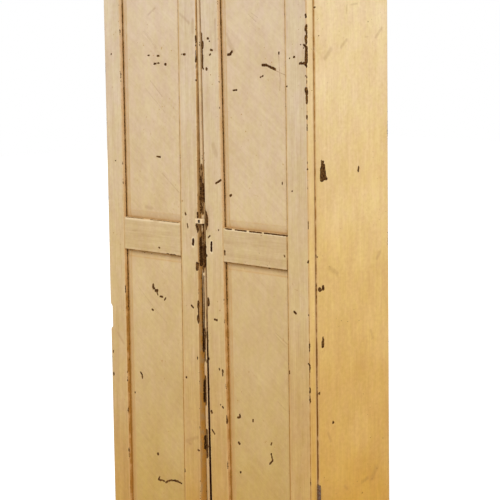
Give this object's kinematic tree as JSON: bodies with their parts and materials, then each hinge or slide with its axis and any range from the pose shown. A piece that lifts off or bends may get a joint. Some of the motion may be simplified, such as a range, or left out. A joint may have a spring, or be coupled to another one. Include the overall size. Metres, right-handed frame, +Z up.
{
  "type": "two-door cupboard",
  "caption": "Tall, narrow painted pine cupboard with a pair of panelled doors on butt hinges, a divided shelved inside, door locks and a turn button between the doors.",
  "frame": {"origin": "on the floor, under the middle of the box that the whole cupboard fills", "axes": "+X to the cupboard's right as its front is seen, +Y from front to back, +Z up; the doors face -Y"},
  "size_m": [0.8948, 0.3024, 1.93],
  "materials": {
    "door_paint": "old brushed cream oil paint, yellowed towards the floor, chipped to dark wood at the edges",
    "case_paint": "old brushed cream oil paint, smoother and yellower than the doors",
    "bare_pine": "bare aged pine, planed, dull",
    "button_paint": "cream paint, worn at the corners",
    "hinge_iron": "dull brown iron with paint remains",
    "lock_iron": "dark iron, lightly rusted",
    "fastener_steel": "darkened steel"
  },
  "bodies": {
    "case": {"back_board_1": "bare_pine", "back_board_2": "bare_pine", "back_board_3": "bare_pine", "back_board_4": "bare_pine", "back_board_5": "bare_pine", "back_nails": "fastener_steel", "bottom_board": "bare_pine", "case_screws": "fastener_steel", "corner_blocks": "bare_pine", "frieze_rail": "case_paint", "front_cornice": "case_paint", "hinge_pins": "hinge_iron", "left_case_hinge_leaves": "hinge_iron", "left_cleats": "bare_pine", "left_cornice": "case_paint", "left_shelf_1": "bare_pine", "left_shelf_2": "bare_pine", "left_shelf_3": "bare_pine", "left_shelf_4": "bare_pine", "left_side": "case_paint", "meeting_strip": "case_paint", "partition": "bare_pine", "plinth_back": "bare_pine", "plinth_front": "case_paint", "right_case_hinge_leaves": "hinge_iron", "right_cleats": "bare_pine", "right_cornice": "case_paint", "right_shelf_1": "bare_pine", "right_shelf_2": "bare_pine", "right_shelf_3": "bare_pine", "right_shelf_4": "bare_pine", "right_side": "case_paint", "strip_nails": "fastener_steel", "top_board": "bare_pine", "turn_button_screw": "fastener_steel", "turn_button_washer": "fastener_steel"},
    "left_door": {"left_door_bottom_rail": "door_paint", "left_door_hinge_leaves": "hinge_iron", "left_door_hinge_stile": "door_paint", "left_door_lock_case": "lock_iron", "left_door_lock_rail": "door_paint", "left_door_lower_panel": "door_paint", "left_door_meeting_stile": "door_paint", "left_door_screws": "fastener_steel", "left_door_top_rail": "door_paint", "left_door_upper_panel": "door_paint"},
    "right_door": {"right_door_bottom_rail": "door_paint", "right_door_hinge_leaves": "hinge_iron", "right_door_hinge_stile": "door_paint", "right_door_lock_case": "lock_iron", "right_door_lock_rail": "door_paint", "right_door_lower_panel": "door_paint", "right_door_meeting_stile": "door_paint", "right_door_screws": "fastener_steel", "right_door_top_rail": "door_paint", "right_door_upper_panel": "door_paint"},
    "left_bolt": {"left_door_lock_bolt": "lock_iron"},
    "right_bolt": {"right_door_lock_bolt": "lock_iron"},
    "turn_button": {"turn_button": "button_paint"}
  },
  "joints": [
    {"name": "left_door_swing", "type": "hinge", "parent": "case", "child": "left_door", "pos_m": [-0.4046, -0.1045, 0.97], "axis": [0, 0, -1], "range_deg": [0, 180]},
    {"name": "right_door_swing", "type": "hinge", "parent": "case", "child": "right_door", "pos_m": [0.4046, -0.1045, 0.97], "axis": [0, 0, 1], "range_deg": [0, 180]},
    {"name": "left_lock_slide", "type": "slide", "parent": "left_door", "child": "left_bolt", "axis": [1, 0, 0], "range_m": [0, 0.0142]},
    {"name": "right_lock_slide", "type": "slide", "parent": "right_door", "child": "right_bolt", "axis": [-1, 0, 0], "range_m": [0, 0.0077]},
    {"name": "turn_button_turn", "type": "hinge", "parent": "case", "child": "turn_button", "pos_m": [0.00054, -0.13, 1.0254], "axis": [0, -1, 0], "continuous": true}
  ]
}
